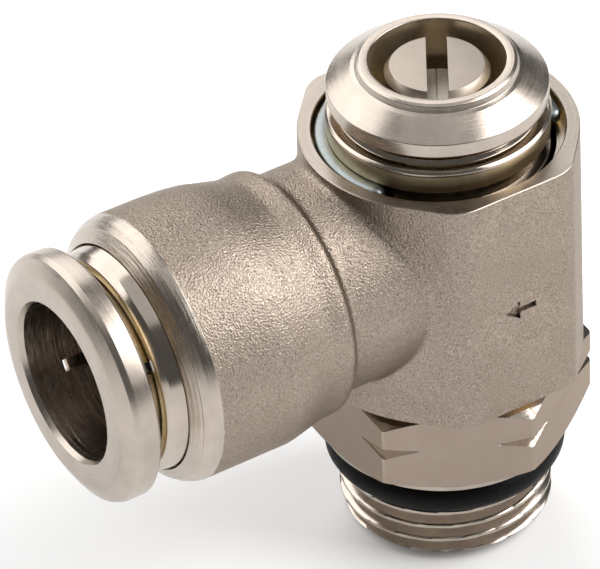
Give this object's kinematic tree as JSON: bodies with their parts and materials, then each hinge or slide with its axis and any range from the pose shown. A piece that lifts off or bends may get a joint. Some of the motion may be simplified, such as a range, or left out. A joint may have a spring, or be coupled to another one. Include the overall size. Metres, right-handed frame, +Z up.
{
  "type": "push to connect fitting",
  "caption": "Swivelling push-in elbow with a built-in screw-adjusted flow control, nickel-plated, with a sealed male pipe thread below the hexagon.",
  "frame": {"origin": "on the stem's axis, in the plane of the hexagon's lower face, which seats on the port", "axes": "+Z up along the stem, away from the port; the tube leaves towards -X; +Y makes the frame right handed"},
  "size_m": [0.0443, 0.0228, 0.0414],
  "materials": {
    "forged_nickel": "forged brass, nickel plated, satin grain",
    "bright_nickel": "turned brass, nickel plated, bright",
    "zinc_steel": "spring steel, zinc plated, bluish",
    "plain_steel": "stainless steel, plain",
    "black_rubber": "moulded nitrile rubber, black"
  },
  "bodies": {
    "stem": {"threaded_stem": "bright_nickel", "port_oring": "black_rubber", "upper_stem_oring": "black_rubber", "lower_stem_oring": "black_rubber", "check_seal": "black_rubber", "circlip": "zinc_steel", "cap_bush": "bright_nickel"},
    "elbow": {"banjo_body": "forged_nickel", "collet_cap_ring": "bright_nickel", "tube_seal": "black_rubber", "seal_washer": "plain_steel"},
    "collet": {"release_collet": "bright_nickel"},
    "screw_carrier": {"needle_oring": "black_rubber"},
    "screw": {"adjusting_screw": "bright_nickel"}
  },
  "joints": [
    {"name": "elbow_swivel", "type": "hinge", "parent": "stem", "child": "elbow", "pos_m": [0, 0, 0.0182], "axis": [0, 0, 1], "continuous": true},
    {"name": "collet_push", "type": "slide", "parent": "elbow", "child": "collet", "axis": [1, 0, 0], "range_m": [0, 0.00115]},
    {"name": "screw_travel", "type": "slide", "parent": "stem", "child": "screw_carrier", "axis": [0, 0, 1], "range_m": [-0.0025, 0]},
    {"name": "screw_turn", "type": "hinge", "parent": "screw_carrier", "child": "screw", "pos_m": [0, 0, 0.0263], "axis": [0, 0, 1], "range_deg": [-1800, 0]}
  ],
  "couplings": [
    {"joint": "screw_turn", "follows": "screw_travel", "rad_per_m": 12560}
  ]
}
